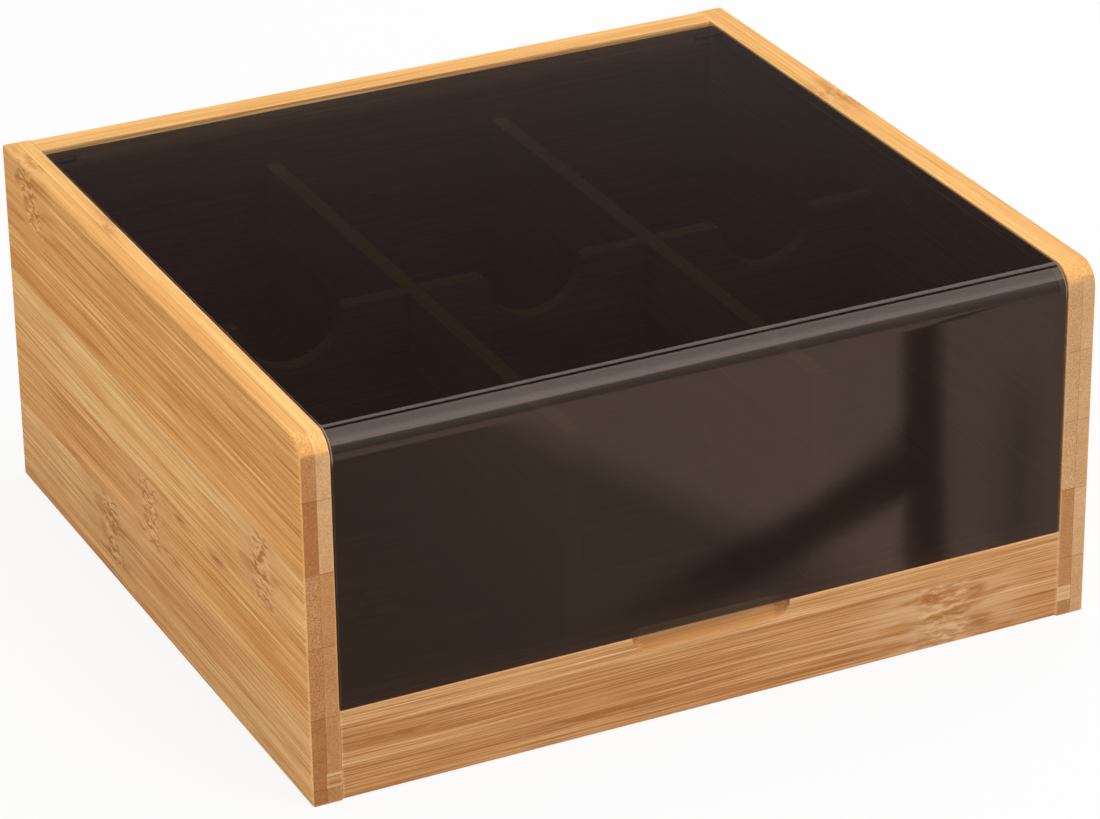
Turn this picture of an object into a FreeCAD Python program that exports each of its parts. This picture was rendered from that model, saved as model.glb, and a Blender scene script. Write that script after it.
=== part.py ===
"""Tea bag box in laminated bamboo with a hinged lid of bent smoked acrylic.

Frame: millimetres, +Z up, front towards -Y, origin at the middle of the base.
Two side panels run the full depth. The back panel, the low front rail and the
dividers stand between them, and the bottom panel sits in a groove all round.
The lid is one sheet bent over the front. It turns on two pins at its back edge
and rests on the rail, which has a finger scoop under the lid's lower edge.
"""

import FreeCAD, Part
import os
import Sketcher

DRIVING_SIZES = {
    # whole box
    "width": 217.0,
    "depth": 200.0,
    "height": 98.0,
    "side_thickness": 8.0,
    "back_thickness": 8.0,
    "rail_thickness": 8.0,
    "rail_height": 24.4,
    "front_corner_radius": 6.5,
    "outer_edge_ease": 0.8,
    "inner_edge_ease": 0.3,
    # finger scoop in the rail's top front edge
    "scoop_width": 44.0,
    "scoop_radius": 4.2,
    # bottom panel in its groove
    "bottom_thickness": 4.0,
    "bottom_lift": 4.2,
    "groove_depth": 4.0,
    "groove_play": 0.15,
    # dividers
    "divider_thickness": 4.5,
    "divider_top": 81.0,
    "divider_edge_ease": 0.5,
    "lap_play": 0.1,
    "notch_radius": 14.0,
    "notch_lip_radius": 2.0,
    # smoked lid
    "lid_thickness": 3.0,
    "lid_recess": 0.2,
    "lid_setback": 0.2,
    "lid_bend_radius": 6.5,
    "lid_side_gap": 0.4,
    "lid_edge_ease": 0.25,
    # hinge
    "hinge_tail": 3.0,
    "hinge_swing_gap": 2.4,
    "pin_diameter": 1.6,
    "pin_in_lid": 7.0,
    "pin_in_panel": 4.2,
    "pin_running_play": 0.05,
    "pin_glue_play": 0.02,
    "pin_end_play": 0.4,
    "pin_chamfer": 0.2,
    # dowels
    "dowel_diameter": 5.0,
    "dowel_in_side": 5.0,
    "dowel_in_end": 15.0,
    "dowel_glue_play": 0.05,
    "dowel_end_play": 0.5,
    "dowel_chamfer": 0.6,
    "back_dowel_edge": 20.0,
    "rail_dowel_height": 16.4,
}

NEAR = 1e-4

# Each side's name, and the direction along X from it to the middle.
SIDES = {"left": 1, "right": -1}

# The columns of cells, counted from the middle one.
COLUMNS = (-1, 0, 1)


class Size:
    """A length with the spreadsheet expression that it comes from."""

    def __init__(self, text, value):
        self.text = text
        self.value = value

    @staticmethod
    def of(other):
        """Wrap a plain number, and leave a Size as it is."""
        if isinstance(other, Size):
            return other
        return Size(f"{other:g}", float(other))

    def __add__(self, other):
        other = Size.of(other)
        return Size(f"({self.text} + {other.text})", self.value + other.value)

    def __sub__(self, other):
        other = Size.of(other)
        return Size(f"({self.text} - {other.text})", self.value - other.value)

    def __mul__(self, other):
        other = Size.of(other)
        return Size(f"({self.text} * {other.text})", self.value * other.value)

    def __truediv__(self, other):
        other = Size.of(other)
        return Size(f"({self.text} / {other.text})", self.value / other.value)

    def __neg__(self):
        return self * -1

    def root(self):
        """The square root."""
        return Size(f"sqrt({self.text})", self.value ** 0.5)


ZERO = Size("0", 0.0)


def fill_sheet(document, values):
    """Write the driving sizes to the sheet, and return each as a Size."""
    sheet = document.addObject("Spreadsheet::Sheet", "Sizes")
    for row, (alias, value) in enumerate(values.items(), start=1):
        sheet.set(f"A{row}", alias.replace("_", " "))
        sheet.set(f"B{row}", f"{value}")
        sheet.setAlias(f"B{row}", alias)
    document.recompute()
    return {alias: Size(f"Sizes.{alias}", value) for alias, value in values.items()}


doc = FreeCAD.newDocument("tea_box")
size = fill_sheet(doc, DRIVING_SIZES)

# Where the pieces meet: every one of these comes from the sizes above.
half_width = size["width"] / 2
half_depth = size["depth"] / 2
inner_x = half_width - size["side_thickness"]
inner_back = half_depth - size["back_thickness"]
inner_front = half_depth - size["rail_thickness"]

floor = size["bottom_lift"] + size["bottom_thickness"]
divider_height = size["divider_top"] - floor
divider_pitch = (inner_x * 2 + size["divider_thickness"]) / len(COLUMNS)
divider_x = divider_pitch / 2
cross_y = (inner_back - inner_front) / 2

lid_top = size["height"] - size["lid_recess"]
lid_front = half_depth - size["lid_setback"]
lid_half_width = inner_x - size["lid_side_gap"]
hinge_reach = (size["hinge_tail"] * size["hinge_tail"]
               + size["lid_thickness"] * size["lid_thickness"] / 4).root()
hinge_y = inner_back - size["hinge_swing_gap"] - hinge_reach
hinge_z = lid_top - size["lid_thickness"] / 2

back_dowel_y = half_depth - size["back_thickness"] / 2
rail_dowel_y = -(half_depth - size["rail_thickness"] / 2)
back_dowel_heights = [
    size["back_dowel_edge"],
    size["height"] / 2,
    size["height"] - size["back_dowel_edge"],
]


# ---------------------------------------------------------------- helpers

def new_body(label, x=ZERO, y=ZERO, z=ZERO):
    """Start a body whose own origin stands at x, y, z."""
    body = doc.addObject("PartDesign::Body", label)
    body.Label = label
    for axis, place in zip("xyz", (x, y, z)):
        body.setExpression(f"Placement.Base.{axis}", place.text)
    return body


def new_sketch(body, name, role, offset=ZERO):
    """Start a sketch on one of the body's origin planes, moved along its normal."""
    sketch = body.newObject("Sketcher::SketchObject", f"{body.Name}_{name}")
    plane = next(item for item in body.Origin.OriginFeatures if item.Role == role)
    sketch.AttachmentSupport = (plane, "")
    sketch.MapMode = "FlatFace"
    sketch.setExpression("AttachmentOffset.Base.z", offset.text)
    return sketch


def hold(sketch, kind, geometry, point, distance):
    """Dimension a sketch point from the sketch's origin."""
    index = sketch.addConstraint(
        Sketcher.Constraint(kind, -1, 1, geometry, point, distance.value))
    sketch.setExpression(f"Constraints[{index}]", distance.text)


def draw_outline(sketch, corners):
    """Draw a closed outline of straight lines through the given corners."""
    points = [FreeCAD.Vector(across.value, up.value, 0) for across, up in corners]
    first = sketch.GeometryCount
    count = len(points)
    for index, start in enumerate(points):
        end = points[(index + 1) % count]
        sketch.addGeometry(Part.LineSegment(start, end), False)
    for index, (across, up) in enumerate(corners):
        following = first + (index + 1) % count
        sketch.addConstraint(
            Sketcher.Constraint("Coincident", first + index, 2, following, 1))
        hold(sketch, "DistanceX", first + index, 1, across)
        hold(sketch, "DistanceY", first + index, 1, up)


def draw_rectangle(sketch, left, right, low, high):
    """Draw a rectangle between two pairs of edges."""
    draw_outline(sketch, [(left, low), (right, low), (right, high), (left, high)])


def draw_circle(sketch, across, up, diameter):
    """Draw a circle about a dimensioned centre."""
    centre = FreeCAD.Vector(across.value, up.value, 0)
    normal = FreeCAD.Vector(0, 0, 1)
    circle = sketch.addGeometry(Part.Circle(centre, normal, diameter.value / 2), False)
    hold(sketch, "DistanceX", circle, 3, across)
    hold(sketch, "DistanceY", circle, 3, up)
    index = sketch.addConstraint(
        Sketcher.Constraint("Diameter", circle, diameter.value))
    sketch.setExpression(f"Constraints[{index}]", diameter.text)


def pad(body, sketch, length, reverse=False, centred=False):
    """Raise a sketch into a solid."""
    feature = body.newObject("PartDesign::Pad", f"{sketch.Name}_pad")
    feature.Profile = sketch
    feature.Reversed = reverse
    feature.Midplane = centred
    feature.setExpression("Length", length.text)
    doc.recompute()
    return feature


def pocket(body, sketch, depth, reverse=False, centred=False):
    """Cut a sketch into the solid, and check that it removes something."""
    before = body.Shape.Volume
    feature = body.newObject("PartDesign::Pocket", f"{sketch.Name}_pocket")
    feature.Profile = sketch
    feature.Reversed = reverse
    feature.Midplane = centred
    feature.setExpression("Length", depth.text)
    doc.recompute()
    if body.Shape.Volume > before - NEAR:
        raise RuntimeError(f"{feature.Name} cuts nothing")
    return feature


def round_edges(body, name, radius, chosen):
    """Round the edges of the body's last feature that the test accepts."""
    base = body.Tip
    edges = [f"Edge{index}" for index, edge in enumerate(base.Shape.Edges, start=1)
             if chosen(edge)]
    if not edges:
        raise RuntimeError(f"{body.Label}: no edge to round for {name}")
    feature = body.newObject("PartDesign::Fillet", f"{body.Name}_{name}")
    feature.Base = (base, edges)
    feature.setExpression("Radius", radius.text)
    doc.recompute()
    return feature


def chamfer_ends(body, width):
    """Break both round ends of a pin or a dowel."""
    base = body.Tip
    edges = [f"Edge{index}" for index, edge in enumerate(base.Shape.Edges, start=1)
             if edge.Curve.TypeId == "Part::GeomCircle"]
    feature = body.newObject("PartDesign::Chamfer", f"{body.Name}_ends")
    feature.Base = (base, edges)
    feature.setExpression("Size", width.text)
    doc.recompute()


def lies_at(edge, **places):
    """True where the whole edge keeps the given coordinates, such as x=0."""
    box = edge.BoundBox
    for axis, place in places.items():
        low = getattr(box, f"{axis.upper()}Min")
        high = getattr(box, f"{axis.upper()}Max")
        if abs(low - place.value) > NEAR or abs(high - place.value) > NEAR:
            return False
    return True


def spans(edge, axis):
    """True where the edge is longer along the axis than across it."""
    box = edge.BoundBox
    lengths = {"x": box.XLength, "y": box.YLength, "z": box.ZLength}
    return lengths[axis] > max(length for name, length in lengths.items() if name != axis)


# ---------------------------------------------------------------- side panels

def make_side_panel(side, inward):
    """A full-depth side with a rounded front corner and its joinery."""
    body = new_body(f"{side}_side_panel", x=-half_width * inward)
    reverse = inward < 0
    inner_face = size["side_thickness"] * inward

    face = new_sketch(body, "face", "YZ_Plane")
    draw_rectangle(face, -half_depth, half_depth, ZERO, size["height"])
    pad(body, face, size["side_thickness"], reverse=reverse)
    round_edges(body, "front_corner", size["front_corner_radius"],
                lambda edge: lies_at(edge, y=-half_depth, z=size["height"]))

    groove = new_sketch(body, "groove", "YZ_Plane", inner_face)
    draw_rectangle(groove, -half_depth, half_depth,
                   size["bottom_lift"], floor + size["groove_play"])
    pocket(body, groove, size["groove_depth"], reverse=reverse)

    dowel_holes = new_sketch(body, "dowel_holes", "YZ_Plane", inner_face)
    hole = size["dowel_diameter"] + size["dowel_glue_play"] * 2
    for height in back_dowel_heights:
        draw_circle(dowel_holes, back_dowel_y, height, hole)
    draw_circle(dowel_holes, rail_dowel_y, size["rail_dowel_height"], hole)
    pocket(body, dowel_holes, size["dowel_in_side"], reverse=reverse)

    pin_hole = new_sketch(body, "pin_hole", "YZ_Plane", inner_face)
    draw_circle(pin_hole, hinge_y, hinge_z,
                size["pin_diameter"] + size["pin_running_play"] * 2)
    pocket(body, pin_hole, size["pin_in_panel"] + size["pin_end_play"], reverse=reverse)

    round_edges(body, "outer_ease", size["outer_edge_ease"],
                lambda edge: lies_at(edge, x=ZERO))
    round_edges(body, "inner_ease", size["inner_edge_ease"],
                lambda edge: lies_at(edge, x=inner_face) and is_on_top_or_front(edge))
    return body


def is_on_top_or_front(edge):
    """True for a side panel's edges over the top, the corner and down the front."""
    middle = edge.CenterOfMass
    corner = size["front_corner_radius"].value
    above = middle.z > size["height"].value - corner
    ahead = middle.y < -half_depth.value + corner
    on_top = lies_at(edge, z=size["height"])
    on_front = lies_at(edge, y=-half_depth)
    return on_top or on_front or (above and ahead)


# ---------------------------------------------------------------- back panel and rail

def make_back_panel():
    """The back, between the sides, with a groove for the bottom panel."""
    body = new_body("back_panel", y=half_depth)
    face = new_sketch(body, "face", "XZ_Plane")
    draw_rectangle(face, -inner_x, inner_x, ZERO, size["height"])
    pad(body, face, size["back_thickness"])

    groove = new_sketch(body, "groove", "XZ_Plane", size["back_thickness"])
    draw_rectangle(groove, -inner_x, inner_x,
                   size["bottom_lift"], floor + size["groove_play"])
    pocket(body, groove, size["groove_depth"])

    drill_ends(body, -size["back_thickness"] / 2, back_dowel_heights)
    round_edges(body, "outer_ease", size["outer_edge_ease"],
                lambda edge: lies_at(edge, y=ZERO) and spans(edge, "x"))
    round_edges(body, "inner_ease", size["inner_edge_ease"],
                lambda edge: lies_at(edge, y=-size["back_thickness"], z=size["height"]))
    return body


def make_front_rail():
    """The low front, with a scoop where a finger lifts the lid."""
    body = new_body("front_rail", y=-half_depth)
    face = new_sketch(body, "face", "XZ_Plane")
    draw_rectangle(face, -inner_x, inner_x, ZERO, size["rail_height"])
    pad(body, face, size["rail_thickness"], reverse=True)

    groove = new_sketch(body, "groove", "XZ_Plane", -size["rail_thickness"])
    draw_rectangle(groove, -inner_x, inner_x,
                   size["bottom_lift"], floor + size["groove_play"])
    pocket(body, groove, size["groove_depth"], reverse=True)

    drill_ends(body, size["rail_thickness"] / 2, [size["rail_dowel_height"]])
    round_edges(body, "inner_ease", size["inner_edge_ease"],
                lambda edge: spans(edge, "x") and lies_at(edge, z=size["rail_height"]))
    round_edges(body, "lower_ease", size["outer_edge_ease"],
                lambda edge: lies_at(edge, y=ZERO, z=ZERO))
    cut_finger_scoop(body)
    return body


def drill_ends(body, y, heights):
    """Drill a row of dowel holes into both ends of a cross piece."""
    hole = size["dowel_diameter"] + size["dowel_glue_play"] * 2
    for side, inward in SIDES.items():
        holes = new_sketch(body, f"{side}_dowel_holes", "YZ_Plane", -inner_x * inward)
        for height in heights:
            draw_circle(holes, y, height, hole)
        pocket(body, holes, size["dowel_in_end"], reverse=inward > 0)


def cut_finger_scoop(body):
    """Turn a round-ended cove along the rail's top front edge."""
    radius = size["scoop_radius"]
    half = size["scoop_width"] / 2
    straight = half - radius
    top = size["rail_height"]
    sketch = new_sketch(body, "scoop", "XZ_Plane")

    def at(across, up):
        return FreeCAD.Vector(across.value, up.value, 0)

    axis = sketch.addGeometry(Part.LineSegment(at(half, top), at(-half, top)), False)
    flat = sketch.addGeometry(
        Part.LineSegment(at(-straight, top - radius), at(straight, top - radius)), False)
    ends = {}
    for turn in (-1, 1):
        diagonal = radius * turn / 2 ** 0.5
        middle = at(straight * turn + diagonal, top - radius / 2 ** 0.5)
        tip = at(half * turn, top)
        low = at(straight * turn, top - radius)
        start, end = (tip, low) if turn < 0 else (low, tip)
        ends[turn] = sketch.addGeometry(Part.Arc(start, middle, end), False)
    for first, first_end, second, second_end in (
            (axis, 2, ends[-1], 1), (ends[-1], 2, flat, 1),
            (flat, 2, ends[1], 1), (ends[1], 2, axis, 1)):
        sketch.addConstraint(
            Sketcher.Constraint("Coincident", first, first_end, second, second_end))
    hold(sketch, "DistanceX", axis, 1, half)
    hold(sketch, "DistanceY", axis, 1, top)
    hold(sketch, "DistanceX", axis, 2, -half)
    hold(sketch, "DistanceY", axis, 2, top)
    hold(sketch, "DistanceX", flat, 1, -straight)
    hold(sketch, "DistanceY", flat, 1, top - radius)
    hold(sketch, "DistanceX", flat, 2, straight)
    hold(sketch, "DistanceY", flat, 2, top - radius)
    for turn in (-1, 1):
        hold(sketch, "DistanceX", ends[turn], 3, straight * turn)

    before = body.Shape.Volume
    groove = body.newObject("PartDesign::Groove", "front_rail_scoop_groove")
    groove.Profile = sketch
    groove.ReferenceAxis = (sketch, [f"Edge{axis + 1}"])
    groove.Angle = 360
    doc.recompute()
    if body.Shape.Volume > before - NEAR:
        raise RuntimeError("the finger scoop cuts nothing")


# ---------------------------------------------------------------- bottom and dividers

def make_bottom_panel():
    """The bottom, with all four edges in the grooves around it."""
    body = new_body("bottom_panel", z=size["bottom_lift"])
    tongue = size["groove_depth"] - size["groove_play"]
    outline = new_sketch(body, "outline", "XY_Plane")
    draw_rectangle(outline, -(inner_x + tongue), inner_x + tongue,
                   -(inner_front + tongue), inner_back + tongue)
    pad(body, outline, size["bottom_thickness"])
    return body


def make_groove_plug(end, side, inward):
    """A plug that fills the open end of a side panel's groove."""
    ahead = end == "front"
    margin = size["rail_thickness"] if ahead else size["back_thickness"]
    length = margin - size["groove_depth"]
    outer_end = -half_depth if ahead else half_depth
    body = new_body(f"{end}_groove_plug_{side}",
                    x=-inner_x * inward, y=outer_end, z=size["bottom_lift"])
    section = new_sketch(body, "section", "XZ_Plane")
    reach = -size["groove_depth"] * inward
    draw_rectangle(section, ZERO, reach, ZERO,
                   size["bottom_thickness"] + size["groove_play"])
    pad(body, section, length, reverse=ahead)
    return body


def make_long_divider(side, inward):
    """A front-to-back divider, slotted from below for the cross divider."""
    body = new_body(f"long_divider_{side}", x=-divider_x * inward, z=floor)
    face = new_sketch(body, "face", "YZ_Plane")
    draw_rectangle(face, -inner_front, inner_back, ZERO, divider_height)
    pad(body, face, size["divider_thickness"], centred=True)

    slot = new_sketch(body, "slot", "YZ_Plane")
    half_slot = size["divider_thickness"] / 2 + size["lap_play"]
    draw_rectangle(slot, cross_y - half_slot, cross_y + half_slot,
                   ZERO, divider_height / 2 + size["lap_play"])
    pocket(body, slot, size["divider_thickness"], centred=True)
    round_edges(body, "ease", size["divider_edge_ease"],
                lambda edge: lies_at(edge, z=divider_height) and spans(edge, "y"))
    return body


def make_cross_divider():
    """The left-to-right divider, with a half-round notch in each column."""
    body = new_body("cross_divider", y=cross_y, z=floor)
    face = new_sketch(body, "face", "XZ_Plane")
    draw_rectangle(face, -inner_x, inner_x, ZERO, divider_height)
    pad(body, face, size["divider_thickness"], centred=True)

    notches = new_sketch(body, "notches", "XZ_Plane")
    for column in COLUMNS:
        draw_circle(notches, divider_pitch * column, divider_height,
                    size["notch_radius"] * 2)
    pocket(body, notches, size["divider_thickness"], centred=True)
    round_edges(body, "notch_lips", size["notch_lip_radius"], is_notch_lip)

    slots = new_sketch(body, "slots", "XZ_Plane")
    half_slot = size["divider_thickness"] / 2 + size["lap_play"]
    for inward in SIDES.values():
        draw_rectangle(slots, divider_x * inward - half_slot, divider_x * inward + half_slot,
                       divider_height / 2, divider_height)
    pocket(body, slots, size["divider_thickness"], centred=True)
    return body


def is_notch_lip(edge):
    """True for the edge where a notch meets the cross divider's top."""
    middle = edge.CenterOfMass
    inside = abs(middle.x) < inner_x.value - NEAR
    return inside and spans(edge, "y") and abs(middle.z - divider_height.value) < NEAR


# ---------------------------------------------------------------- lid and hinge pins

def make_lid():
    """One acrylic sheet, bent down over the front, drilled for the pins."""
    body = new_body("smoked_lid")
    back_edge = hinge_y + size["hinge_tail"]
    profile = new_sketch(body, "profile", "YZ_Plane")
    draw_outline(profile, [
        (back_edge, lid_top),
        (-lid_front, lid_top),
        (-lid_front, size["rail_height"]),
        (size["lid_thickness"] - lid_front, size["rail_height"]),
        (size["lid_thickness"] - lid_front, lid_top - size["lid_thickness"]),
        (back_edge, lid_top - size["lid_thickness"]),
    ])
    pad(body, profile, lid_half_width * 2, centred=True)
    round_edges(body, "outer_bend", size["lid_bend_radius"],
                lambda edge: lies_at(edge, y=-lid_front, z=lid_top))
    inside_of_bend = {"y": size["lid_thickness"] - lid_front,
                      "z": lid_top - size["lid_thickness"]}
    round_edges(body, "inner_bend", size["lid_bend_radius"] - size["lid_thickness"],
                lambda edge: lies_at(edge, **inside_of_bend))
    round_edges(body, "polish", size["lid_edge_ease"],
                lambda edge: lies_at(edge, x=lid_half_width) or lies_at(edge, x=-lid_half_width)
                or lies_at(edge, y=back_edge) or lies_at(edge, z=size["rail_height"]))

    for side, inward in SIDES.items():
        hole = new_sketch(body, f"{side}_pin_hole", "YZ_Plane", -lid_half_width * inward)
        draw_circle(hole, hinge_y, hinge_z,
                    size["pin_diameter"] + size["pin_glue_play"] * 2)
        pocket(body, hole, size["pin_in_lid"] + size["pin_end_play"], reverse=inward > 0)
    return body


def make_round_pin(label, start, inward, y, z, diameter, length, chamfer):
    """A straight round pin that lies along X from start towards the middle."""
    body = new_body(label, x=start, y=y, z=z)
    section = new_sketch(body, "section", "YZ_Plane")
    draw_circle(section, ZERO, ZERO, diameter)
    pad(body, section, length, reverse=inward < 0)
    chamfer_ends(body, chamfer)
    return body


def make_hinge_pin(side, inward):
    """A steel pin, fixed in the lid's edge and turning in the side panel."""
    start = -(inner_x + size["pin_in_panel"]) * inward
    length = size["pin_in_panel"] + size["lid_side_gap"] + size["pin_in_lid"]
    return make_round_pin(f"hinge_pin_{side}", start, inward, hinge_y, hinge_z,
                          size["pin_diameter"], length, size["pin_chamfer"])


def make_dowel(label, inward, y, z):
    """A wooden dowel, glued half in a side panel and half in a cross piece."""
    in_side = size["dowel_in_side"] - size["dowel_end_play"]
    in_end = size["dowel_in_end"] - size["dowel_end_play"]
    start = -(inner_x + in_side) * inward
    return make_round_pin(label, start, inward, y, z,
                          size["dowel_diameter"], in_side + in_end, size["dowel_chamfer"])


# ---------------------------------------------------------------- assembly

pieces = [make_back_panel(), make_front_rail(), make_bottom_panel(),
          make_cross_divider(), make_lid()]
for side, inward in SIDES.items():
    pieces.append(make_side_panel(side, inward))
    pieces.append(make_long_divider(side, inward))
    pieces.append(make_hinge_pin(side, inward))
    for end in ("front", "rear"):
        pieces.append(make_groove_plug(end, side, inward))
    for number, height in enumerate(back_dowel_heights, start=1):
        label = f"back_dowel_{side}_{number}"
        pieces.append(make_dowel(label, inward, back_dowel_y, height))
    pieces.append(make_dowel(f"rail_dowel_{side}", inward,
                             rail_dowel_y, size["rail_dowel_height"]))

doc.recompute()
for item in doc.Objects:
    if "Invalid" in item.State or "Error" in item.State:
        raise RuntimeError(f"{item.Label} did not rebuild: {item.State}")

os.makedirs("parts", exist_ok=True)
for piece in pieces:
    if piece.Shape.isNull() or not piece.Shape.isValid():
        raise RuntimeError(f"{piece.Label} has no valid shape")
    piece.Shape.exportStep(f"parts/{piece.Label}.step")
    print(f"{piece.Label}: {len(piece.Shape.Solids)} solid, {piece.Shape.Volume:.0f} mm3")
print(f"lid hinge axis: y {hinge_y.value:.4f}, z {hinge_z.value:.4f}")
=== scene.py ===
"""Looks of the bamboo tea box with a smoked acrylic lid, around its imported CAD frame.

Bamboo is one solid texture: each board says which way its grain, strips and plies run, how light each
strip is and where the culm's nodes cross it. Lengths in the materials are millimetres, the rest metres.
"""

import math
from collections import namedtuple

import bpy
from mathutils import Matrix, Vector


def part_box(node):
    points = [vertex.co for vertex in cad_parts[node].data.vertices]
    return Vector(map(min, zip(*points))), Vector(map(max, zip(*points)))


MM_PER_M = 1000.0

# Camera: fitted to the photograph's box corners, then a little wider so that every corner is in view.
CAMERA_PLACE = (-0.469, -0.9855, 0.575)
CAMERA_AZIMUTH = -25.657
CAMERA_ELEVATION = 26.176
CAMERA_ROLL = -0.798
CAMERA_LENS = 150.95
SENSOR_WIDTH = 36.0


def colour(red, green, blue):
    """An sRGB colour, 0 to 255, as a linear shader colour."""
    linear = []
    for part in (red, green, blue):
        value = part / 255.0
        linear.append(value / 12.92 if value <= 0.04045 else ((value + 0.055) / 1.055) ** 2.4)
    return (*linear, 1.0)


def grey(level):
    """A grey of that linear level as a shader colour."""
    return (level, level, level, 1.0)


class Graph:
    """Adds shader nodes to one tree and links them as they are made."""

    # Where a Mix node keeps its colour sockets, whose names its other kinds share.
    FIRST_COLOUR = 6
    SECOND_COLOUR = 7
    MIXED_COLOUR = 2

    def __init__(self, tree):
        self.tree = tree

    def node(self, kind, **settings):
        made = self.tree.nodes.new(kind)
        for name, value in settings.items():
            setattr(made, name, value)
        return made

    def feed(self, socket, value):
        if isinstance(value, bpy.types.NodeSocket):
            self.tree.links.new(value, socket)
        else:
            socket.default_value = value

    def calc(self, operation, *values):
        made = self.node("ShaderNodeMath", operation=operation)
        for socket, value in zip(made.inputs, values):
            self.feed(socket, value)
        return made.outputs[0]

    def total(self, *values):
        result = values[0]
        for value in values[1:]:
            result = self.calc("ADD", result, value)
        return result

    def product(self, *values):
        result = values[0]
        for value in values[1:]:
            result = self.calc("MULTIPLY", result, value)
        return result

    def between(self, share, low, high):
        """low where the share is 0 and high where it is 1."""
        return self.calc("MULTIPLY_ADD", share, high - low, low)

    def swing(self, value, reach):
        """A 0 to 1 value turned into one from -reach to reach."""
        return self.between(value, -reach, reach)

    def smooth(self, value, start, end):
        """0 at start and 1 at end, with a soft step between; start may be the larger one."""
        made = self.node("ShaderNodeMapRange", interpolation_type="SMOOTHSTEP")
        self.feed(made.inputs["Value"], value)
        self.feed(made.inputs["From Min"], start)
        self.feed(made.inputs["From Max"], end)
        return made.outputs["Result"]

    def near(self, value, centre, solid, gone):
        """1 within solid of the centre, 0 further than gone."""
        distance = self.calc("ABSOLUTE", self.calc("SUBTRACT", value, centre))
        return self.smooth(distance, gone, solid)

    def split(self, vector):
        made = self.node("ShaderNodeSeparateXYZ")
        self.feed(made.inputs[0], vector)
        return made.outputs[0], made.outputs[1], made.outputs[2]

    def join(self, x, y, z):
        made = self.node("ShaderNodeCombineXYZ")
        for socket, value in zip(made.inputs, (x, y, z)):
            self.feed(socket, value)
        return made.outputs[0]

    def stretch(self, vector, factors):
        made = self.node("ShaderNodeVectorMath", operation="MULTIPLY")
        self.feed(made.inputs[0], vector)
        self.feed(made.inputs[1], factors)
        return made.outputs[0]

    def millimetres(self):
        """The object's own coordinates in millimetres."""
        return self.stretch(self.node("ShaderNodeTexCoord").outputs["Object"], (MM_PER_M,) * 3)

    def noise(self, vector, per_mm, detail=2.0, roughness=0.5):
        """Noise with so many waves per millimetre along each axis of the vector."""
        made = self.node("ShaderNodeTexNoise")
        self.feed(made.inputs["Vector"], self.stretch(vector, per_mm))
        self.feed(made.inputs["Scale"], 1.0)
        self.feed(made.inputs["Detail"], detail)
        self.feed(made.inputs["Roughness"], roughness)
        return made.outputs["Fac"]

    def cells(self, vector, per_mm):
        """Distance from the nearest cell's middle, and a random number for that cell."""
        made = self.node("ShaderNodeTexVoronoi")
        self.feed(made.inputs["Vector"], self.stretch(vector, per_mm))
        self.feed(made.inputs["Scale"], 1.0)
        return made.outputs["Distance"], self.split(made.outputs["Color"])[0]

    def mix(self, factor, first, second, blend="MIX"):
        made = self.node("ShaderNodeMix", data_type="RGBA", blend_type=blend)
        self.feed(made.inputs[0], factor)
        self.feed(made.inputs[self.FIRST_COLOUR], first)
        self.feed(made.inputs[self.SECOND_COLOUR], second)
        return made.outputs[self.MIXED_COLOUR]

    def mix_shaders(self, factor, first, second):
        made = self.node("ShaderNodeMixShader")
        for socket, value in zip(made.inputs, (factor, first, second)):
            self.feed(socket, value)
        return made.outputs[0]

    def ramp(self, value, stops, steps=False):
        """The colour and alpha of a ramp through (place, colour) stops, in steps or in straight runs."""
        made = self.node("ShaderNodeValToRGB")
        made.color_ramp.interpolation = "CONSTANT" if steps else "LINEAR"
        elements = made.color_ramp.elements
        while len(elements) < len(stops):
            elements.new(1.0)
        for element, (place, shade) in zip(elements, stops):
            element.position = place
            element.color = shade
        self.feed(made.inputs[0], value)
        return made.outputs[0], made.outputs[1]


# --- bamboo -----------------------------------------------------------------------------------------

# Tints of a board's face, its long edge and its end grain.
# the left panel's golden face: the bamboo's own hue, with painted warm light in place of a warmer lamp on
# that side
WARM_LIT_FACE = (1.07, 0.94, 0.66, 1.0)
PINK_FACE = (0.96, 1.04, 1.24, 1.0)
GOLDEN_EDGE = (1.05, 1.0, 0.80, 1.0)
# painted light: a paler tint on the front rail's top edge and on the floor of its finger scoop, which the lid
# shades
LIT_RAIL_EDGE = (1.22, 1.18, 1.22, 1.0)
DULL_END = (0.82, 0.82, 0.92, 1.0)
GREY_END = (0.78, 0.81, 0.99, 1.0)
PLAIN = (1.0, 1.0, 1.0, 1.0)
PLAIN_TINTS = (PLAIN, GOLDEN_EDGE, DULL_END)
# painted shade and light on the dividers: their faces darker, as shaded walls inside the box, and their top
# edges paler, as lit from above
DIVIDER_SHADED_AND_LIT_TINTS = ((0.62, 0.58, 0.54, 1.0), (1.24, 1.17, 0.86, 1.0), DULL_END)

# One board:
#   axes       the CAD axes along the grain, across the strips and through the plies
#   joints     where strips meet
#   ply_joint  where the lower and the upper ply meet
#   plies      each ply's strips from low to high: (face tone, end tone, end speckle, share of face tint)
#   marks      node marks: (along, low, high, lean, half width, ply)
#   seed       a number of its own, so that its wood differs from the other boards'
#   tints      of its face, its long edge and its end grain
#   stains     smudges: (along, across, half length, half width)
#   depth      how deeply the node marks are drawn
Board = namedtuple(
    "Board", "axes joints ply_joint plies marks seed tints stains depth", defaults=(PLAIN_TINTS, (), 1.0),
)

PALETTE = (
    (0.00, colour(178, 112, 58)),
    (0.25, colour(200, 136, 76)),
    (0.50, colour(218, 159, 97)),
    (0.80, colour(238, 188, 126)),
    (1.00, colour(248, 212, 156)),
)
FIBRE_DARK = colour(140, 84, 36)
NODE_PALE = colour(244, 194, 136)
NODE_DARK = colour(168, 106, 48)
HALO_PALE = colour(224, 174, 120)
HALO_RED = colour(186, 120, 58)
STAIN = colour(170, 104, 46)
GLUE_DARK = colour(120, 76, 44)
# the paler colour painted along the box edges as a highlight
EDGE_HIGHLIGHT_PALE = colour(250, 214, 156)

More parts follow.
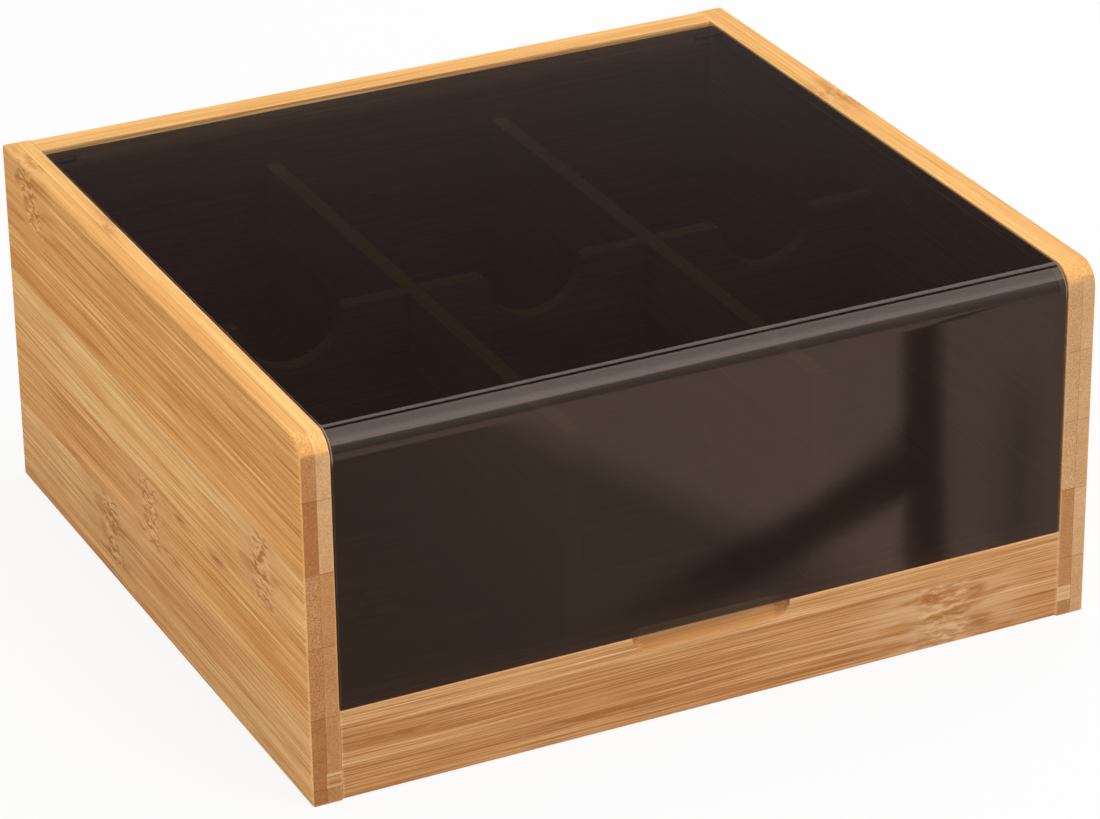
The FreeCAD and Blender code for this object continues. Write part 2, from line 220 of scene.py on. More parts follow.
# Each noise's waves per millimetre, and the cells per millimetre that the fibre bundles lie in, along,
# across and through a board.
WANDER_WAVES = (0.009, 0.04, 0.04)
RIPPLE_WAVES = (0.20, 0.16, 0.1)
ZIGZAG_WAVES = (0.14, 0.60, 0.3)
BAND_WAVES = (0.008, 0.14, 0.14)
LINE_WAVES = (0.016, 1.7, 1.7)
FINE_WAVES = (0.04, 3.8, 3.8)
CROWD_WAVES = (0.012, 0.25, 0.25)
GRIT_WAVES = (2.4, 2.4, 2.4)
PATCH_WAVES = (0.05, 0.30, 0.30)
STROKE_WAVES = (0.24, 0.86, 0.6)
MARK_WAVES = (0.05, 0.45, 1.0)
STAIN_WAVES = (0.15, 1.1, 1.0)
# the next noise breaks up the painted edge highlight
EDGE_HIGHLIGHT_WAVES = (0.25, 0.25, 0.25)
DASH_CELLS = (0.036, 2.2, 2.2)
DOT_CELLS = (0.036, 2.1, 2.1)

# How far fibres stray, in millimetres, and the share of their wandering that goes through the board.
WANDER = 1.0
RIPPLE = 2.4
ZIGZAG = 2.2
WANDER_THROUGH = 0.3

# Where each feature starts to show and where it is full: dashes and dots by the distance from a bundle's
# middle, dashes by the bundle's random number and by how crowded the place is, the rest by their noise.
DASH_SHAPE = (0.50, 0.16)
DASH_CHANCE = (0.25, 0.85)
DASH_CROWD = (0.34, 0.62)
DOT_SHAPE = (0.46, 0.20)
RED_PATCHES = (0.48, 0.64)
DARK_STROKES = (0.52, 0.40)
PALE_STROKES = (0.50, 0.60)
STAIN_BREAKS = (0.35, 0.60)

# The same by how much the surface's normal points along the grain, across the strips, or either way.
END_GRAIN = (0.90, 0.95)
LONG_EDGE = (0.35, 0.80)
TURNED = (0.20, 0.75)
TURNED_CONTRAST = 0.5       # what is left there of the contrast of the face

# How far each noise moves the tone of a cut along the fibres, and of the end grain.
BAND_SWING = 0.30
LINE_SWING = 0.88
FINE_SWING = 0.42
GRIT_SWING = 0.10
END_BAND_SWING = 0.14
END_GRIT_SWING = 0.40

# How much of each darker or paler colour is laid over the wood.
DASH_SHARE = 0.60
DOT_SHARE = 0.66
HALO_SHARE = 0.62
STAIN_SHARE = 0.85
DARK_STROKE_SHARE = 0.74
PALE_STROKE_SHARE = 0.72
# how much painted edge highlight is laid over the wood
EDGE_HIGHLIGHT_SHARE = 0.20
STAIN_LEAST = 0.3           # what is left of a stain where the noise breaks it up

# Roughness of the face, and what lines, dashes and end grain change in it.
FACE_ROUGHNESS = 0.50
LINE_ROUGHNESS = 0.10
DASH_ROUGHNESS = 0.12
END_ROUGHNESS = 0.10

# Height of each feature, as a share of the grain's depth.
DASH_HEIGHT = -0.8
LINE_HEIGHT = 0.7
STROKE_HEIGHT = 0.7
JOINT_HEIGHT = -0.8

GROUP_INPUTS = {
    "Place": "Vector",
    "Tone": "Float",
    "End tone": "Float",
    "Speckle": "Float",
    "End": "Float",
    "Contrast": "Float",
    "Mark": "Float",
    "Halo": "Float",
    "Stain": "Float",
    "Joint": "Float",
    "Edge highlight": "Float",
    "Tint": "Color",
}
GROUP_OUTPUTS = {"Colour": "Color", "Roughness": "Float", "Height": "Float"}

# Node marks: millimetres that they wobble and that their ends take to fade, and how far the full
# column, its fading and the altered wood reach, in half widths of the mark.
MARK_WOBBLE = 2.6
MARK_FADE = 0.4
MARK_CORE = 0.6
MARK_REACH = 1.45
HALO_REACH = 4.5

# Stains: where they end and where they are full, in shares of their half length and half width.
STAIN_EDGE = (1.3, 0.2)

# Painted highlight along the edges: where it ends and where it is full, and how far the noise moves that, in
# millimetres.
EDGE_HIGHLIGHT_REACH = (0.75, 0.15)
EDGE_HIGHLIGHT_UNEVEN = 0.35

# Glue lines: half widths in millimetres, solid and faded out, between two plies and between two strips,
# and how much they show on a face and on the end grain.
PLY_LINE = (0.04, 0.14)
STRIP_LINE = (0.05, 0.16)
PLY_LINE_SHOWN = (0.16, 0.32)
STRIP_LINE_SHOWN = (0.08, 0.42)

BOTH_PLIES = None
BEYOND = 300.0              # a joint outside the board: it has one ply, or one strip
STRIP_WIDTH = 19.5
GRAIN_DEPTH_MM = 0.06
GRAIN_RELIEF = 0.5
BAMBOO_SHINE = 0.12

# How far apart boards, strips of another tone and plies cut their wood from the texture, in millimetres.
SEED_STEP_ALONG = 37.0
SEED_STEP_ACROSS = 11.0
STRIP_SHIFT = 900.0
PLY_SHIFT = 19.0


def plain_strips(*tones):
    """A ply whose strips differ in tone alone."""
    return tuple((tone, 0.5, 0.3, 0.5) for tone in tones)


BOARDS = {
    "left_side_panel": Board(
        axes="YZX",
        joints=(4.1, 23.6, 42.9, 62.5, 82.0),
        ply_joint=-104.4,
        plies=(
            ((0.60, 0.18, 0.6, 0.20), (0.65, 0.22, 0.8, 0.20), (0.60, 0.36, 1.0, 0.5),
             (0.72, 0.44, 1.0, 0.5), (0.57, 0.14, 0.3, 0.9), (0.62, 0.34, 0.4, 0.9)),
            ((0.60, 0.40, 0.3, 0.7), (0.62, 0.42, 0.3, 0.7), (0.60, 0.42, 0.3, 0.7),
             (0.58, 0.40, 0.4, 0.7), (0.70, 0.70, 0.1, 1.0), (0.80, 0.72, 0.1, 1.0)),
        ),
        marks=(
            (80.5, 81.5, 98.5, 0.45, 5.4, 0),
            (31.0, 6.0, 23.6, 0.05, 5.2, 0),
            (2.0, 24.0, 42.6, 0.10, 5.0, 0),
            (-73.5, 43.2, 62.0, 0.10, 5.6, 0),
            (36.0, 82.0, 98.5, 0.3, 3.6, 1),
            (-40.0, 42.9, 62.5, 0.1, 4.0, 1),
            (60.0, 4.1, 23.6, 0.0, 4.0, 1),
        ),
        stains=((-21.0, 40.8, 6.0, 1.4), (-44.5, 41.4, 7.0, 1.6), (89.0, 92.5, 3.0, 1.6),
                (26.0, 17.5, 6.0, 1.0), (-12.0, 27.0, 9.0, 0.9)),
        seed=3.0,
        tints=(WARM_LIT_FACE, GOLDEN_EDGE, DULL_END),
    ),
    "right_side_panel": Board(
        axes="YZX",
        joints=(16.6, 36.2, 55.6, 75.1, 94.6),
        ply_joint=104.5,
        plies=(
            ((0.52, 0.32, 0.3, 0.5), (0.50, 0.34, 0.3, 0.5), (0.58, 0.66, 0.7, 0.5),
             (0.56, 0.66, 0.6, 0.5), (0.60, 0.62, 0.5, 0.5), (0.66, 0.62, 0.4, 1.0)),
            ((0.56, 0.62, 0.2, 0.5), (0.60, 0.72, 0.1, 0.5), (0.50, 0.64, 0.2, 0.5),
             (0.58, 0.66, 0.2, 0.5), (0.48, 0.68, 0.2, 0.5), (0.62, 0.70, 0.2, 1.0)),
        ),
        marks=(
            (24.0, 75.1, 98.5, 0.4, 4.6, BOTH_PLIES),
            (-52.0, 36.2, 55.6, 0.1, 4.2, 1),
            (64.0, 16.6, 36.2, -0.1, 4.6, 1),
            (-18.0, 0.0, 16.6, 0.1, 4.2, 1),
            (78.0, 55.6, 75.1, 0.1, 4.4, 0),
        ),
        stains=((-40.0, 38.0, 7.0, 1.5), (12.0, 58.0, 9.0, 1.4)),
        seed=11.0,
        tints=(PLAIN, GOLDEN_EDGE, GREY_END),
    ),
    "back_panel": Board(
        axes="XZY",
        joints=(9.0, 28.5, 48.0, 67.5, 87.0),
        ply_joint=96.0,
        plies=(
            plain_strips(0.50, 0.58, 0.50, 0.60, 0.52, 0.62),
            plain_strips(0.54, 0.48, 0.60, 0.50, 0.58, 0.72),
        ),
        marks=(
            (-62.0, 48.0, 67.5, 0.1, 4.4, 1),
            (24.0, 9.0, 28.5, -0.1, 4.6, 1),
            (71.0, 67.5, 87.0, 0.1, 4.2, 1),
            (-8.0, 28.5, 48.0, 0.0, 4.6, BOTH_PLIES),
            (-84.0, 0.0, 9.0, 0.0, 4.0, 1),
        ),
        stains=((-20.0, 66.0, 8.0, 1.2), (44.0, 30.5, 7.0, 1.4)),
        seed=23.0,
    ),
    "front_rail": Board(
        axes="XZY",
        joints=(-1.0, 18.6),
        ply_joint=-96.0,
        plies=(
            ((0.18, 0.4, 0.3, 1.0), (0.28, 0.4, 0.3, 1.0), (0.44, 0.5, 0.3, 1.0)),
            plain_strips(0.60, 0.60, 0.66),
        ),
        marks=((67.0, 0.0, 17.8, -0.10, 7.0, 0),),
        stains=((62.5, 14.5, 4.5, 2.6), (75.5, 14.0, 4.5, 2.6), (70.0, 9.0, 4.5, 1.8), (78.0, 4.5, 6.0, 3.0),
                (61.0, 2.2, 3.5, 1.6), (-30.0, 5.5, 26.0, 1.6), (-86.0, 14.5, 18.0, 1.2)),
        seed=37.0,
        tints=(PINK_FACE, LIT_RAIL_EDGE, DULL_END),
        depth=0.55,
    ),
    "bottom_panel": Board(
        axes="XYZ",
        joints=(-78.0, -58.0, -38.0, -18.0, 2.0, 22.0, 42.0, 62.0, 82.0),
        ply_joint=6.2,
        plies=(
            plain_strips(*(0.46 + 0.08 * (strip % 3) for strip in range(10))),
            plain_strips(*(0.62 - 0.07 * (strip % 4) for strip in range(10))),
        ),
        marks=(
            (-58.0, -38.0, -18.0, 0.1, 4.6, BOTH_PLIES),
            (37.0, 22.0, 42.0, -0.1, 4.4, BOTH_PLIES),
            (76.0, -78.0, -58.0, 0.0, 4.2, BOTH_PLIES),
            (-12.0, 62.0, 82.0, 0.1, 4.6, BOTH_PLIES),
        ),
        seed=41.0,
    ),
    "cross_divider": Board(
        axes="XZY",
        joints=(26.0, 45.5, 65.0),
        ply_joint=BEYOND,
        plies=(plain_strips(0.52, 0.44, 0.54, 0.74),) * 2,
        marks=(
            (-14.0, 45.5, 65.0, 0.1, 4.4, BOTH_PLIES),
            (83.0, 26.0, 45.5, 0.1, 4.4, BOTH_PLIES),
        ),
        seed=53.0,
        tints=DIVIDER_SHADED_AND_LIT_TINTS,
    ),
}
LONG_DIVIDER = Board(
    axes="YZX",
    joints=(22.0, 41.5, 61.0),
    ply_joint=BEYOND,
    plies=(plain_strips(0.48, 0.54, 0.46, 0.74),) * 2,
    marks=(
        (48.0, 41.5, 61.0, 0.1, 4.4, BOTH_PLIES),
        (-37.0, 22.0, 41.5, 0.1, 4.4, BOTH_PLIES),
    ),
    seed=61.0,
    tints=DIVIDER_SHADED_AND_LIT_TINTS,
)
PLUG_TONES = {"left": 0.50, "right": 0.94}


def plug_board(side):
    """The sliver of bamboo that closes a groove; the right one is the paler."""
    strip = (PLUG_TONES[side], PLUG_TONES[side], 0.1, 1.0)
    return Board(
        axes="XZY",
        joints=(-BEYOND,),
        ply_joint=BEYOND,
        plies=((strip, strip),) * 2,
        marks=(),
        seed=71.0,
        tints=(DULL_END, DULL_END, DULL_END),
    )


def fibre_course(graph, place, mark):
    """The place as the fibres see it: they wander a little, and zigzag where a node crosses them."""
    along, across, through = graph.split(place)
    wander = graph.swing(graph.noise(place, WANDER_WAVES), WANDER)
    ripple = graph.product(graph.swing(graph.noise(place, RIPPLE_WAVES), RIPPLE), mark)
    zigzag = graph.product(graph.swing(graph.noise(place, ZIGZAG_WAVES, 1.0), ZIGZAG), mark)
    return graph.join(
        graph.total(along, zigzag),
        graph.total(across, wander, ripple),
        graph.total(through, graph.product(wander, WANDER_THROUGH)),
    )


def long_cut(graph, fibres, given, band, line, grit):
    """The cut along the fibres: broad bands, long fine lines and thin dark dashes."""
    fine = graph.noise(fibres, FINE_WAVES)
    drift = graph.total(
        graph.swing(band, BAND_SWING),
        graph.swing(line, LINE_SWING),
        graph.swing(fine, FINE_SWING),
        graph.swing(grit, GRIT_SWING),
    )
    tone = graph.total(given["Tone"], graph.product(drift, given["Contrast"]))
    distance, chance = graph.cells(fibres, DASH_CELLS)
    crowd = graph.noise(fibres, CROWD_WAVES)
    dash = graph.product(
        graph.smooth(distance, *DASH_SHAPE),
        graph.smooth(chance, *DASH_CHANCE),
        graph.smooth(crowd, *DASH_CROWD),
        given["Contrast"],
    )
    face = graph.mix(graph.product(dash, DASH_SHARE), graph.ramp(tone, PALETTE)[0], FIBRE_DARK)
    return face, dash


def end_cut(graph, fibres, given, band, grit):
    """The cut across the fibres: even in tone, with a dark dot for each bundle of fibres."""
    tone = graph.total(
        given["End tone"],
        graph.swing(band, END_BAND_SWING),
        graph.swing(grit, END_GRIT_SWING),
    )
    distance, _ = graph.cells(fibres, DOT_CELLS)
    dot = graph.product(graph.smooth(distance, *DOT_SHAPE), given["Speckle"], DOT_SHARE)
    return graph.mix(dot, graph.ramp(tone, PALETTE)[0], FIBRE_DARK)


def with_nodes(graph, fibres, given, wood, stroke):
    """The wood with its nodes: patchy pale and reddish wood around, pale and dark strokes in a column."""
    patch = graph.smooth(graph.noise(fibres, PATCH_WAVES), *RED_PATCHES)
    halo = graph.mix(patch, HALO_PALE, HALO_RED)
    dark = graph.product(given["Mark"], graph.smooth(stroke, *DARK_STROKES), DARK_STROKE_SHARE)
    pale = graph.product(given["Mark"], graph.smooth(stroke, *PALE_STROKES), PALE_STROKE_SHARE)
    wood = graph.mix(graph.product(given["Halo"], HALO_SHARE), wood, halo)
    wood = graph.mix(graph.product(given["Stain"], STAIN_SHARE), wood, STAIN)
    wood = graph.mix(dark, wood, NODE_DARK)
    return graph.mix(pale, wood, NODE_PALE)


def bamboo_group():
    """Solid bamboo for a place given in millimetres along, across and through the board."""
    tree = bpy.data.node_groups.new("bamboo", "ShaderNodeTree")
    for name, kind in GROUP_INPUTS.items():
        tree.interface.new_socket(name, in_out="INPUT", socket_type="NodeSocket" + kind)
    for name, kind in GROUP_OUTPUTS.items():
        tree.interface.new_socket(name, in_out="OUTPUT", socket_type="NodeSocket" + kind)
    graph = Graph(tree)
    given = graph.node("NodeGroupInput").outputs
    result = graph.node("NodeGroupOutput").inputs

    fibres = fibre_course(graph, given["Place"], given["Mark"])
    band = graph.noise(fibres, BAND_WAVES)
    line = graph.noise(fibres, LINE_WAVES, 3.0, 0.6)
    grit = graph.noise(fibres, GRIT_WAVES, 2.0, 0.6)
    stroke = graph.noise(fibres, STROKE_WAVES, 3.0, 0.55)
    face, dash = long_cut(graph, fibres, given, band, line, grit)
    cut = end_cut(graph, fibres, given, band, grit)

    wood = graph.mix(given["End"], face, cut)
    wood = with_nodes(graph, fibres, given, wood, stroke)
    wood = graph.mix(given["Joint"], wood, GLUE_DARK)
    # a painted highlight along the box edges
    wood = graph.mix(given["Edge highlight"], wood, EDGE_HIGHLIGHT_PALE)
    wood = graph.mix(1.0, wood, given["Tint"], "MULTIPLY")
    rough = graph.total(
        FACE_ROUGHNESS,
        graph.swing(line, LINE_ROUGHNESS),
        graph.product(dash, DASH_ROUGHNESS),
        graph.product(given["End"], END_ROUGHNESS),
    )
    height = graph.total(
        graph.product(dash, DASH_HEIGHT),
        graph.product(line, LINE_HEIGHT),
        graph.product(given["Mark"], stroke, STROKE_HEIGHT),
        graph.product(given["Joint"], JOINT_HEIGHT),
    )
    graph.feed(result["Colour"], wood)
    graph.feed(result["Roughness"], rough)
    graph.feed(result["Height"], height)
    return tree


def place_on_board(graph, axes):
    """The object's own coordinates in millimetres as (along, across, through)."""
    millimetres = graph.split(graph.millimetres())
    return [millimetres["XYZ".index(axis)] for axis in axes]


def cut_shown(graph, axes):
    """How far the surface is end grain, a long narrow edge of the board, and turned from the face."""
    normal = graph.split(graph.node("ShaderNodeTexCoord").outputs["Normal"])
    end, edge = (graph.calc("ABSOLUTE", normal["XYZ".index(axis)]) for axis in axes[:2])
    turned = graph.smooth(graph.calc("MAXIMUM", end, edge), *TURNED)
    return graph.smooth(end, *END_GRAIN), graph.smooth(edge, *LONG_EDGE), turned


def strip_values(graph, across, board, ply):
    """The strip that the point lies in: (tone, end tone, speckle) as a colour, and its tint."""
    low = board.joints[0] - STRIP_WIDTH
    high = board.joints[-1] + STRIP_WIDTH
    starts = (low, *board.joints)
    stops = [((start - low) / (high - low), values) for start, values in zip(starts, ply)]
    share = graph.calc("DIVIDE", graph.calc("SUBTRACT", across, low), high - low)
    return graph.ramp(share, stops, steps=True)


def node_marks(graph, along, across, upper_ply, marks):
    """How much the culm's nodes show at a point, and the altered wood around them."""
    shown = 0.0
    around = 0.0
    wobble = graph.swing(graph.noise(graph.join(along, across, 0.0), MARK_WAVES), MARK_WOBBLE)
    for centre, low, high, lean, half_width, ply in marks:
        middle = (low + high) / 2
        reach = (high - low) / 2
        slant = graph.calc("MULTIPLY_ADD", graph.calc("SUBTRACT", across, middle), lean, centre)
        offset = graph.total(graph.calc("SUBTRACT", along, slant), wobble)
        strip = graph.near(across, middle, reach - MARK_FADE, reach + MARK_FADE)
        if ply is not BOTH_PLIES:
            strip = graph.product(strip, upper_ply if ply else graph.calc("SUBTRACT", 1.0, upper_ply))
        column = graph.near(offset, 0.0, half_width * MARK_CORE, half_width * MARK_REACH)
        halo = graph.near(offset, 0.0, half_width, half_width * HALO_REACH)
        shown = graph.calc("MAXIMUM", shown, graph.product(column, strip))
        around = graph.calc("MAXIMUM", around, graph.product(halo, strip))
    return shown, around


def stained(graph, along, across, upper_ply, stains):
    """How far a point lies in one of the board's darker smudges, which show on its lower ply."""
    shown = 0.0
    ragged = graph.noise(graph.join(along, across, 0.0), STAIN_WAVES)
    for centre, middle, half_length, half_width in stains:
        run = graph.calc("DIVIDE", graph.calc("SUBTRACT", along, centre), half_length)
        rise = graph.calc("DIVIDE", graph.calc("SUBTRACT", across, middle), half_width)
        apart = graph.calc("SQRT", graph.total(graph.product(run, run), graph.product(rise, rise)))
        shown = graph.calc("MAXIMUM", shown, graph.smooth(apart, *STAIN_EDGE))
    broken = graph.between(graph.smooth(ragged, *STAIN_BREAKS), STAIN_LEAST, 1.0)
    return graph.product(shown, broken, graph.calc("SUBTRACT", 1.0, upper_ply))


def joint_lines(graph, across, through, board, end):
    """Thin glue lines where strips and plies meet, clearest on the end grain."""
    ply_shown = graph.between(end, *PLY_LINE_SHOWN)
    strip_shown = graph.between(end, *STRIP_LINE_SHOWN)
    line = graph.product(graph.near(through, board.ply_joint, *PLY_LINE), ply_shown)
    for joint in board.joints:
        strip_line = graph.product(graph.near(across, joint, *STRIP_LINE), strip_shown)
        line = graph.calc("MAXIMUM", line, strip_line)
    return line


def painted_edge_highlight(graph, name):
    """Paler wood within a fraction of a millimetre of the piece's box edges, broken up by noise: a painted
    highlight where the eased edges catch the light.
    """
    low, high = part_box(name)
    place = graph.millimetres()
    depths = []
    for value, start, stop in zip(graph.split(place), low, high):
        middle = (start + stop) / 2 * MM_PER_M
        half = (stop - start) / 2 * MM_PER_M
        distance = graph.calc("ABSOLUTE", graph.calc("SUBTRACT", value, middle))
        depths.append(graph.calc("SUBTRACT", half, distance))
    first, second, third = depths
    smaller = graph.calc("MINIMUM", first, second)
    larger = graph.calc("MAXIMUM", first, second)
    from_edge = graph.calc("MAXIMUM", smaller, graph.calc("MINIMUM", larger, third))
    uneven = graph.total(from_edge, graph.swing(graph.noise(place, EDGE_HIGHLIGHT_WAVES, 3.0), EDGE_HIGHLIGHT_UNEVEN))
    return graph.product(graph.smooth(uneven, *EDGE_HIGHLIGHT_REACH), EDGE_HIGHLIGHT_SHARE)


def surface(material_name):
    """A new material with its principled shader, and a graph to build on."""
    material = bpy.data.materials.new(material_name)
    material.use_nodes = True
    tree = material.node_tree
    shader = tree.nodes["Principled BSDF"]
    return material, Graph(tree), shader


def bump(graph, shader, height, depth_mm, strength):
    """Relief on the surface: a height of 1 stands that many millimetres up."""
    made = graph.node("ShaderNodeBump")
    made.inputs["Strength"].default_value = strength
    made.inputs["Distance"].default_value = depth_mm / MM_PER_M
    graph.feed(made.inputs["Height"], height)
    graph.feed(shader.inputs["Normal"], made.outputs[0])


def bamboo(name, board, group):
    """The bamboo of one piece."""
    material, graph, shader = surface("bamboo_" + name)
    along, across, through = place_on_board(graph, board.axes)
    end, edge, turned = cut_shown(graph, board.axes)
    upper_ply = graph.calc("GREATER_THAN", through, board.ply_joint)
    strips = [strip_values(graph, across, board, ply) for ply in board.plies]
    (lower, lower_tint), (upper, upper_tint) = strips
    tone, end_tone, speckle = graph.split(graph.mix(upper_ply, lower, upper))
    warmth = graph.split(graph.mix(upper_ply, lower_tint, upper_tint))[0]
    mark, halo = node_marks(graph, along, across, upper_ply, board.marks)
    face_tint, edge_tint, end_tint = board.tints
    long_tint = graph.mix(edge, graph.mix(warmth, PLAIN, face_tint), edge_tint)
    contrast = graph.between(turned, 1.0, TURNED_CONTRAST)
    place = graph.join(
        graph.total(along, board.seed * SEED_STEP_ALONG, graph.product(tone, STRIP_SHIFT)),
        graph.total(across, board.seed * SEED_STEP_ACROSS),
        graph.total(through, graph.product(upper_ply, PLY_SHIFT)),
    )

    wood = graph.node("ShaderNodeGroup", node_tree=group)
    for socket, value in {
        "Place": place,
        "Tone": tone,
        "End tone": end_tone,
        "Speckle": speckle,
        "End": end,
        "Contrast": contrast,
        "Mark": graph.product(mark, contrast, board.depth),
        "Halo": halo,
        "Stain": stained(graph, along, across, upper_ply, board.stains),
        "Joint": joint_lines(graph, across, through, board, end),
        # a painted highlight along the box edges
        "Edge highlight": painted_edge_highlight(graph, name),
        "Tint": graph.mix(end, long_tint, end_tint),
    }.items():
        graph.feed(wood.inputs[socket], value)
    graph.feed(shader.inputs["Base Color"], wood.outputs["Colour"])
    graph.feed(shader.inputs["Roughness"], wood.outputs["Roughness"])
    shader.inputs["Specular IOR Level"].default_value = BAMBOO_SHINE
    bump(graph, shader, wood.outputs["Height"], GRAIN_DEPTH_MM, GRAIN_RELIEF)
    return material


# --- other materials --------------------------------------------------------------------------------

ACRYLIC_DARK = colour(30, 20, 18)
ACRYLIC_PALE = colour(35, 24, 21)
# pale cut edges, and the painted glint where the sheet is bent
CUT_EDGE_AND_GLINT = colour(205, 190, 178)
WARM_SHEEN = colour(255, 232, 218)
ACRYLIC_IOR = 1.49
ACRYLIC_SHINE = 0.90
ACRYLIC_ALPHA = 0.69
ACRYLIC_WIPES = (0.4, 0.8)
ACRYLIC_ROUGHNESS = (0.035, 0.065)      # clear, and in a wiping mark
CUT_LEAST = 0.2             # how much the noise shows of a cut edge away from the bend
# how strong the painted glint is at the bent corner
GLINT_AT_BEND = 0.7
RIM_MM = (0.35, 0.15)       # from the sheet's end, where its cut edge starts to show and shows fully
# where the painted glint near the bent corner starts and is full
GLINT_BEND_MM = (9.0, 5.0)        # the same for the bend, from the sheet's front and top
STEEL_DARK = colour(150, 144, 136)
STEEL_PALE = colour(184, 178, 170)
STEEL_ROUGHNESS = (0.42, 0.60)
BEECH_DARK = colour(214, 180, 138)
BEECH_PALE = colour(234, 206, 166)
BEECH_FLECK = colour(180, 132, 88)
BEECH_ROUGHNESS = (0.55, 0.70)


def smoked_acrylic(name):
    """Dark see-through sheet, polished, with a faint heat-bent waviness, wiping marks, paler cut edges and a
    painted glint where the sheet is bent.
    """
    material, graph, shader = surface("smoked_acrylic_sheet")
    place = graph.millimetres()
    haze = graph.noise(place, (0.02, 0.02, 0.02), 3.0)
    wipes = graph.noise(place, (0.35, 0.05, 0.9), 4.0, 0.6)
    waves = graph.noise(place, (0.016, 0.03, 0.03))
    tint = graph.mix(haze, ACRYLIC_DARK, ACRYLIC_PALE)
    rough = graph.between(graph.smooth(wipes, *ACRYLIC_WIPES), *ACRYLIC_ROUGHNESS)
    # paler cut edges and the painted glint over the dark sheet
    graph.feed(shader.inputs["Base Color"], graph.mix(cut_edges_and_glint(graph, place, name), tint, CUT_EDGE_AND_GLINT))
    graph.feed(shader.inputs["Roughness"], rough)
    shader.inputs["IOR"].default_value = ACRYLIC_IOR
    shader.inputs["Specular IOR Level"].default_value = ACRYLIC_SHINE
    shader.inputs["Specular Tint"].default_value = WARM_SHEEN
    shader.inputs["Alpha"].default_value = ACRYLIC_ALPHA
    bump(graph, shader, waves, 0.5, 0.04)
    return material


def cut_edges_and_glint(graph, place, name):
    """How much a cut edge shows: the sheet's sides, its foot and its rear, with a painted glint added where
    the sheet is bent.
    """
    low, high = (tuple(value * MM_PER_M for value in corner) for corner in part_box(name))
    x, y, z = graph.split(place)
    rim_start, rim_full = RIM_MM
    bend_start, bend_full = GLINT_BEND_MM
    sides = graph.smooth(graph.calc("ABSOLUTE", x), high[0] - rim_start, high[0] - rim_full)
    foot = graph.smooth(z, low[2] + rim_start, low[2] + rim_full)
    rear = graph.smooth(y, high[1] - rim_start, high[1] - rim_full)
    rim = graph.calc("MAXIMUM", graph.calc("MAXIMUM", sides, foot), rear)
    bend_glint = graph.product(
        graph.smooth(y, low[1] + bend_start, low[1] + bend_full),
        graph.smooth(z, high[2] - bend_start, high[2] - bend_full),
    )
    uneven = graph.product(graph.noise(place, (0.3, 0.3, 0.3), 3.0), CUT_LEAST)
    # the cut edges, with the painted glint added at the bent corner
    return graph.product(rim, graph.total(uneven, graph.product(bend_glint, GLINT_AT_BEND)))


def pin_steel():
    """Dull turned steel with fine rings round the pin."""
    material, graph, shader = surface("pin_dull_steel")
    place = graph.millimetres()
    rings = graph.noise(place, (9.0, 0.6, 0.6))
    stain = graph.noise(place, (0.5, 0.8, 0.8), 3.0)
    graph.feed(shader.inputs["Base Color"], graph.mix(stain, STEEL_DARK, STEEL_PALE))
    graph.feed(shader.inputs["Roughness"], graph.between(rings, *STEEL_ROUGHNESS))
    shader.inputs["Metallic"].default_value = 1.0
    bump(graph, shader, rings, 0.01, 0.4)
    return material


def dowel_wood():
    """Pale beech with short ray flecks."""
    material, graph, shader = surface("dowel_beech")
    place = graph.millimetres()
    grain = graph.noise(place, (0.5, 0.12, 0.5), 3.0)
    distance, chance = graph.cells(place, (1.4, 0.5, 1.4))
    fleck = graph.product(graph.smooth(distance, 0.35, 0.15), chance, 0.6)
    pale = graph.mix(grain, BEECH_DARK, BEECH_PALE)
    graph.feed(shader.inputs["Base Color"], graph.mix(fleck, pale, BEECH_FLECK))
    graph.feed(shader.inputs["Roughness"], graph.between(grain, *BEECH_ROUGHNESS))
    bump(graph, shader, grain, 0.05, 0.4)
    return material


def dress(nodes):
    """Gives each CAD node its material, in its own slot."""
    group = bamboo_group()
    steel = pin_steel()
    beech = dowel_wood()
    for name, thing in sorted(nodes.items()):
        if name in BOARDS:
            material = bamboo(name, BOARDS[name], group)
        elif name.startswith("long_divider"):
            material = bamboo(name, LONG_DIVIDER, group)
        elif "groove_plug" in name:
            material = bamboo(name, plug_board(name.rsplit("_", 1)[-1]), group)
        elif "dowel" in name:
            material = beech
        elif "pin" in name:
            material = steel
        else:
            material = smoked_acrylic(name)
        thing.material_slots[0].material = material


# --- studio -----------------------------------------------------------------------------------------

FLOOR_SIZE = 8.0
FLOOR_GREY = 0.86
FLOOR_ROUGHNESS = 0.9
FLOOR_WHITE = 0.88          # share of the floor's look that is plain white, so its shadow stays faint
AMBIENT = 0.36              # light from all round, for soft shading
DARK_STUDIO = 0.025         # what polished things mirror where no lamp or backdrop stands
FRONT_GLOW = (0.42, 1.00)   # the paler side of the studio, behind the camera: low down, and high up
GLOW_RISE = (0.0, 0.8)      # sines of the elevations from which and to which that side gets paler
TURN_TO_FRONT = (-0.1, -0.6)    # how far forward a reflection points where that side starts and is full
BACKDROP_LEVEL = 0.88
BACKDROP_RISE = (0.44, 0.14)    # sines of the elevations where the white backdrop starts and is full

